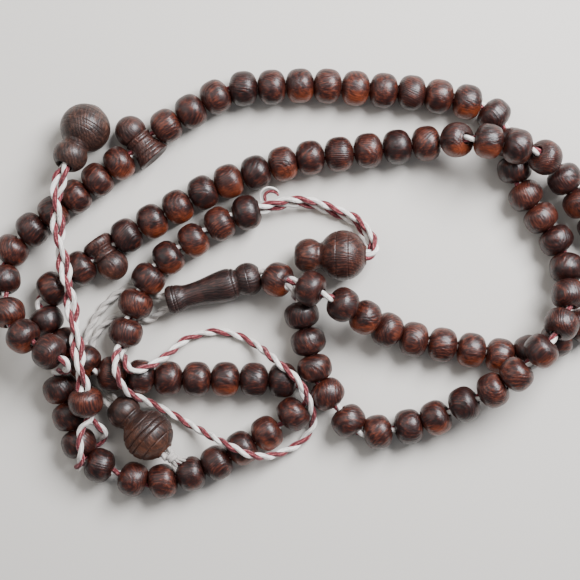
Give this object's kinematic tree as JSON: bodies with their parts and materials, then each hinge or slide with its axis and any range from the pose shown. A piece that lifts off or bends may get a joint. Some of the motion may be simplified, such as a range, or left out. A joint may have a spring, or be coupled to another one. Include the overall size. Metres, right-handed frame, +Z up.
{
  "type": "mala prayer beads",
  "caption": "Loosely laid string of turned wooden prayer beads with separators, a long leader bead, gourd-shaped ends and two corded counter tails.",
  "frame": {"origin": "on the surface that the string lies on, under the middle of its box", "axes": "+X along the laid string's longer side, +Y across it, +Z up"},
  "size_m": [0.1471, 0.0984, 0.0165],
  "materials": {
    "bead_wood": "polished, oiled",
    "dark_wood": "satin",
    "turned_wood": "satin, turned",
    "cord": "two-ply twisted cotton, white with dark red"
  },
  "bodies": {
    "cord": {"main_string": "cord", "long_tail_cord": "cord", "short_tail_cord": "cord", "end_knot": "cord"},
    "leader": {"leader": "dark_wood"},
    "stopper_bead": {"stopper_bead": "bead_wood"},
    "slider_bead": {"slider_bead": "bead_wood"},
    "lower_separator": {"lower_separator": "turned_wood"},
    "upper_separator": {"upper_separator": "turned_wood"},
    "terminal_gourd": {"terminal_gourd": "turned_wood"},
    "long_tail_gourd": {"long_tail_gourd": "turned_wood"},
    "short_tail_gourd": {"short_tail_gourd": "turned_wood"},
    "counter_bead_1": {"counter_bead_1": "bead_wood"},
    "counter_bead_2": {"counter_bead_2": "bead_wood"},
    "counter_bead_3": {"counter_bead_3": "bead_wood"},
    "counter_bead_4": {"counter_bead_4": "bead_wood"},
    "counter_bead_5": {"counter_bead_5": "bead_wood"},
    "counter_bead_6": {"counter_bead_6": "bead_wood"},
    "counter_bead_7": {"counter_bead_7": "bead_wood"},
    "bead_01": {"bead_01": "bead_wood"},
    "beads_02_04": {"beads_02_04": "bead_wood"},
    "beads_05_08": {"beads_05_08": "bead_wood"},
    "beads_09_10": {"beads_09_10": "bead_wood"},
    "beads_11_12": {"beads_11_12": "bead_wood"},
    "beads_13_14": {"beads_13_14": "bead_wood"},
    "beads_15_17": {"beads_15_17": "bead_wood"},
    "bead_18": {"bead_18": "bead_wood"},
    "beads_19_20": {"beads_19_20": "bead_wood"},
    "bead_21": {"bead_21": "bead_wood"},
    "beads_22_26": {"beads_22_26": "bead_wood"},
    "beads_27_29": {"beads_27_29": "bead_wood"},
    "beads_30_33": {"beads_30_33": "bead_wood"},
    "beads_34_35": {"beads_34_35": "bead_wood"},
    "bead_36": {"bead_36": "bead_wood"},
    "beads_37_38": {"beads_37_38": "bead_wood"},
    "beads_39_40": {"beads_39_40": "bead_wood"},
    "beads_41_45": {"beads_41_45": "bead_wood"},
    "bead_46": {"bead_46": "bead_wood"},
    "beads_47_49": {"beads_47_49": "bead_wood"},
    "beads_50_51": {"beads_50_51": "bead_wood"},
    "beads_52_53": {"beads_52_53": "bead_wood"},
    "beads_54_56": {"beads_54_56": "bead_wood"},
    "beads_57_58": {"beads_57_58": "bead_wood"},
    "beads_59_60": {"beads_59_60": "bead_wood"},
    "bead_61": {"bead_61": "bead_wood"},
    "beads_62_66": {"beads_62_66": "bead_wood"},
    "beads_67_69": {"beads_67_69": "bead_wood"},
    "beads_70_72": {"beads_70_72": "bead_wood"},
    "beads_73_76": {"beads_73_76": "bead_wood"},
    "beads_77_78": {"beads_77_78": "bead_wood"},
    "bead_79": {"bead_79": "bead_wood"},
    "beads_80_81": {"beads_80_81": "bead_wood"},
    "beads_82_84": {"beads_82_84": "bead_wood"},
    "beads_85_86": {"beads_85_86": "bead_wood"},
    "bead_87": {"bead_87": "bead_wood"},
    "beads_88_89": {"beads_88_89": "bead_wood"},
    "beads_90_92": {"beads_90_92": "bead_wood"},
    "beads_93_94": {"beads_93_94": "bead_wood"},
    "beads_95_96": {"beads_95_96": "bead_wood"},
    "beads_97_99": {"beads_97_99": "bead_wood"}
  },
  "joints": [
    {"name": "leader_spin", "type": "hinge", "parent": "cord", "child": "leader", "pos_m": [-0.0214, -0.00115, 0.00435], "axis": [0.9641, 0.2653, 0.0133], "continuous": true},
    {"name": "stopper_bead_spin", "type": "hinge", "parent": "cord", "child": "stopper_bead", "pos_m": [-0.00705, 0.00085, 0.00625], "axis": [0.8498, -0.2615, 0.4576], "continuous": true},
    {"name": "slider_bead_spin", "type": "hinge", "parent": "cord", "child": "slider_bead", "pos_m": [-0.05055, -0.0239, 0.0101], "axis": [0.115, -0.9585, -0.2607], "continuous": true},
    {"name": "lower_separator_spin", "type": "hinge", "parent": "cord", "child": "lower_separator", "pos_m": [-0.04705, 0.00735, 0.004], "axis": [-0.8087, -0.5882, 0], "continuous": true},
    {"name": "upper_separator_spin", "type": "hinge", "parent": "cord", "child": "upper_separator", "pos_m": [-0.03805, 0.03185, 0.004], "axis": [0.7399, 0.6727, 0], "continuous": true},
    {"name": "terminal_gourd_spin", "type": "hinge", "parent": "cord", "child": "terminal_gourd", "pos_m": [-0.03925, -0.0319, 0.0056], "axis": [0.7285, -0.6774, 0.1022], "continuous": true},
    {"name": "long_tail_gourd_spin", "type": "hinge", "parent": "cord", "child": "long_tail_gourd", "pos_m": [0.0039, 0.00635, 0.00555], "axis": [0.996, 0, 0.0894], "continuous": true},
    {"name": "short_tail_gourd_spin", "type": "hinge", "parent": "cord", "child": "short_tail_gourd", "pos_m": [-0.05225, 0.032, 0.0074], "axis": [0.3716, 0.8329, -0.4101], "continuous": true},
    {"name": "counter_bead_1_slide", "type": "slide", "parent": "cord", "child": "counter_bead_1", "axis": [0.968, 0.251, 0], "range_m": [0, 0.006]},
    {"name": "counter_bead_2_spin", "type": "hinge", "parent": "cord", "child": "counter_bead_2", "pos_m": [-0.0203, 0.0136, 0.004], "axis": [-0.8638, -0.5039, 0], "continuous": true},
    {"name": "counter_bead_3_spin", "type": "hinge", "parent": "cord", "child": "counter_bead_3", "pos_m": [-0.0263, 0.00985, 0.004], "axis": [-0.8321, -0.5547, 0], "continuous": true},
    {"name": "counter_bead_4_spin", "type": "hinge", "parent": "cord", "child": "counter_bead_4", "pos_m": [-0.03205, 0.00585, 0.004], "axis": [-0.8087, -0.5882, 0], "continuous": true},
    {"name": "counter_bead_5_spin", "type": "hinge", "parent": "cord", "child": "counter_bead_5", "pos_m": [-0.03655, 0.0011, 0.004], "axis": [-0.5369, -0.8437, 0], "continuous": true},
    {"name": "counter_bead_6_spin", "type": "hinge", "parent": "cord", "child": "counter_bead_6", "pos_m": [-0.03955, -0.00465, 0.004], "axis": [-0.3846, -0.9231, 0], "continuous": true},
    {"name": "counter_bead_7_spin", "type": "hinge", "parent": "cord", "child": "counter_bead_7", "pos_m": [-0.0418, -0.01115, 0.004], "axis": [-0.2747, -0.9615, 0], "continuous": true},
    {"name": "bead_01_spin", "type": "hinge", "parent": "cord", "child": "bead_01", "pos_m": [0.00055, -0.00125, 0.0095], "axis": [0.8638, -0.3955, 0.3122], "continuous": true},
    {"name": "beads_02_04_spin", "type": "hinge", "parent": "cord", "child": "beads_02_04", "pos_m": [0.0127, -0.00765, 0.0075], "axis": [0.8144, -0.4581, -0.3563], "continuous": true},
    {"name": "beads_05_08_spin", "type": "hinge", "parent": "cord", "child": "beads_05_08", "pos_m": [0.03395, -0.01465, 0.004], "axis": [0.9827, -0.1854, 0], "continuous": true},
    {"name": "beads_09_10_spin", "type": "hinge", "parent": "cord", "child": "beads_09_10", "pos_m": [0.05345, -0.0144, 0.004], "axis": [0.9153, 0.4027, 0], "continuous": true},
    {"name": "beads_11_12_spin", "type": "hinge", "parent": "cord", "child": "beads_11_12", "pos_m": [0.0652, -0.0074, 0.004], "axis": [0.7913, 0.6114, 0], "continuous": true},
    {"name": "beads_13_14_spin", "type": "hinge", "parent": "cord", "child": "beads_13_14", "pos_m": [0.06895, 0.0036, 0.004], "axis": [-0.251, 0.968, 0], "continuous": true},
    {"name": "beads_15_17_spin", "type": "hinge", "parent": "cord", "child": "beads_15_17", "pos_m": [0.0617, 0.0186, 0.005], "axis": [-0.5519, 0.8279, 0.1004], "continuous": true},
    {"name": "bead_18_spin", "type": "hinge", "parent": "cord", "child": "bead_18", "pos_m": [0.0532, 0.02835, 0.009], "axis": [-0.6667, 0.3333, 0.6667], "continuous": true},
    {"name": "beads_19_20_spin", "type": "hinge", "parent": "cord", "child": "beads_19_20", "pos_m": [0.0432, 0.0311, 0.012], "axis": [-0.9844, 0.1758, 0], "continuous": true},
    {"name": "bead_21_spin", "type": "hinge", "parent": "cord", "child": "bead_21", "pos_m": [0.03345, 0.03235, 0.0085], "axis": [-0.6178, 0, -0.7863], "continuous": true},
    {"name": "beads_22_26_spin", "type": "hinge", "parent": "cord", "child": "beads_22_26", "pos_m": [0.01395, 0.03035, 0.0045], "axis": [-0.9925, -0.1185, -0.0296], "continuous": true},
    {"name": "beads_27_29_spin", "type": "hinge", "parent": "cord", "child": "beads_27_29", "pos_m": [-0.01205, 0.02535, 0.004], "axis": [-0.9512, -0.3085, 0], "continuous": true},
    {"name": "beads_30_33_spin", "type": "hinge", "parent": "cord", "child": "beads_30_33", "pos_m": [-0.0328, 0.01585, 0.004], "axis": [-0.8706, -0.4921, 0], "continuous": true},
    {"name": "beads_34_35_spin", "type": "hinge", "parent": "cord", "child": "beads_34_35", "pos_m": [-0.05605, 0.0006, 0.004], "axis": [-0.7962, -0.6051, 0], "continuous": true},
    {"name": "bead_36_spin", "type": "hinge", "parent": "cord", "child": "bead_36", "pos_m": [-0.0603, -0.0079, 0.004], "axis": [0.4706, -0.8824, 0], "continuous": true},
    {"name": "beads_37_38_spin", "type": "hinge", "parent": "cord", "child": "beads_37_38", "pos_m": [-0.0533, -0.0159, 0.00525], "axis": [0.7485, -0.6362, 0.1871], "continuous": true},
    {"name": "beads_39_40_spin", "type": "hinge", "parent": "cord", "child": "beads_39_40", "pos_m": [-0.0418, -0.0209, 0.00525], "axis": [0.9758, -0.1126, -0.1877], "continuous": true},
    {"name": "beads_41_45_spin", "type": "hinge", "parent": "cord", "child": "beads_41_45", "pos_m": [-0.01905, -0.0219, 0.004], "axis": [0.9999, -0.0154, 0], "continuous": true},
    {"name": "bead_46_spin", "type": "hinge", "parent": "cord", "child": "bead_46", "pos_m": [-0.00355, -0.0299, 0.004], "axis": [-0.7634, -0.6459, 0], "continuous": true},
    {"name": "beads_47_49_spin", "type": "hinge", "parent": "cord", "child": "beads_47_49", "pos_m": [-0.0153, -0.03765, 0.004], "axis": [-0.8619, -0.507, 0], "continuous": true},
    {"name": "beads_50_51_spin", "type": "hinge", "parent": "cord", "child": "beads_50_51", "pos_m": [-0.0303, -0.0444, 0.004], "axis": [-0.9656, -0.26, 0], "continuous": true},
    {"name": "beads_52_53_spin", "type": "hinge", "parent": "cord", "child": "beads_52_53", "pos_m": [-0.04405, -0.04315, 0.004], "axis": [-0.924, 0.3823, 0], "continuous": true},
    {"name": "beads_54_56_spin", "type": "hinge", "parent": "cord", "child": "beads_54_56", "pos_m": [-0.05455, -0.03065, 0.004], "axis": [-0.3237, 0.9462, 0], "continuous": true},
    {"name": "beads_57_58_spin", "type": "hinge", "parent": "cord", "child": "beads_57_58", "pos_m": [-0.0613, -0.0134, 0.01125], "axis": [-0.8351, 0.4523, -0.3131], "continuous": true},
    {"name": "beads_59_60_spin", "type": "hinge", "parent": "cord", "child": "beads_59_60", "pos_m": [-0.0688, -0.0029, 0.0065], "axis": [-0.192, 0.9278, -0.3199], "continuous": true},
    {"name": "bead_61_spin", "type": "hinge", "parent": "cord", "child": "bead_61", "pos_m": [-0.06805, 0.00735, 0.004], "axis": [0.6, 0.8, 0], "continuous": true},
    {"name": "beads_62_66_spin", "type": "hinge", "parent": "cord", "child": "beads_62_66", "pos_m": [-0.0533, 0.01985, 0.004], "axis": [0.7962, 0.6051, 0], "continuous": true},
    {"name": "beads_67_69_spin", "type": "hinge", "parent": "cord", "child": "beads_67_69", "pos_m": [-0.0268, 0.03935, 0.004], "axis": [0.8619, 0.507, 0], "continuous": true},
    {"name": "beads_70_72_spin", "type": "hinge", "parent": "cord", "child": "beads_70_72", "pos_m": [-0.00855, 0.04485, 0.004], "axis": [0.9987, 0.0512, 0], "continuous": true},
    {"name": "beads_73_76_spin", "type": "hinge", "parent": "cord", "child": "beads_73_76", "pos_m": [0.01395, 0.04435, 0.004], "axis": [0.9969, -0.0782, 0], "continuous": true},
    {"name": "beads_77_78_spin", "type": "hinge", "parent": "cord", "child": "beads_77_78", "pos_m": [0.0332, 0.0421, 0.004], "axis": [0.982, -0.1888, 0], "continuous": true},
    {"name": "bead_79_spin", "type": "hinge", "parent": "cord", "child": "bead_79", "pos_m": [0.04245, 0.03835, 0.004], "axis": [0.7399, -0.6727, 0], "continuous": true},
    {"name": "beads_80_81_spin", "type": "hinge", "parent": "cord", "child": "beads_80_81", "pos_m": [0.04645, 0.02935, 0.004], "axis": [0.1888, -0.982, 0], "continuous": true},
    {"name": "beads_82_84_spin", "type": "hinge", "parent": "cord", "child": "beads_82_84", "pos_m": [0.0532, 0.01485, 0.004], "axis": [0.5665, -0.824, 0], "continuous": true},
    {"name": "beads_85_86_spin", "type": "hinge", "parent": "cord", "child": "beads_85_86", "pos_m": [0.0587, 0.0006, 0.00675], "axis": [0, -0.9153, 0.4027], "continuous": true},
    {"name": "bead_87_spin", "type": "hinge", "parent": "cord", "child": "bead_87", "pos_m": [0.05645, -0.00915, 0.01125], "axis": [-0.4985, -0.7754, 0.3877], "continuous": true},
    {"name": "beads_88_89_spin", "type": "hinge", "parent": "cord", "child": "beads_88_89", "pos_m": [0.0492, -0.01765, 0.0115], "axis": [-0.6917, -0.6917, -0.2075], "continuous": true},
    {"name": "beads_90_92_spin", "type": "hinge", "parent": "cord", "child": "beads_90_92", "pos_m": [0.0352, -0.0274, 0.007], "axis": [-0.8483, -0.4477, -0.2828], "continuous": true},
    {"name": "beads_93_94_spin", "type": "hinge", "parent": "cord", "child": "beads_93_94", "pos_m": [0.01895, -0.0334, 0.004], "axis": [-0.9855, -0.1699, 0], "continuous": true},
    {"name": "beads_95_96_spin", "type": "hinge", "parent": "cord", "child": "beads_95_96", "pos_m": [0.00695, -0.02865, 0.004], "axis": [-0.6207, 0.784, 0], "continuous": true},
    {"name": "beads_97_99_spin", "type": "hinge", "parent": "cord", "child": "beads_97_99", "pos_m": [-0.00005, -0.0134, 0.00425], "axis": [-0.2363, 0.9713, 0.0263], "continuous": true}
  ]
}
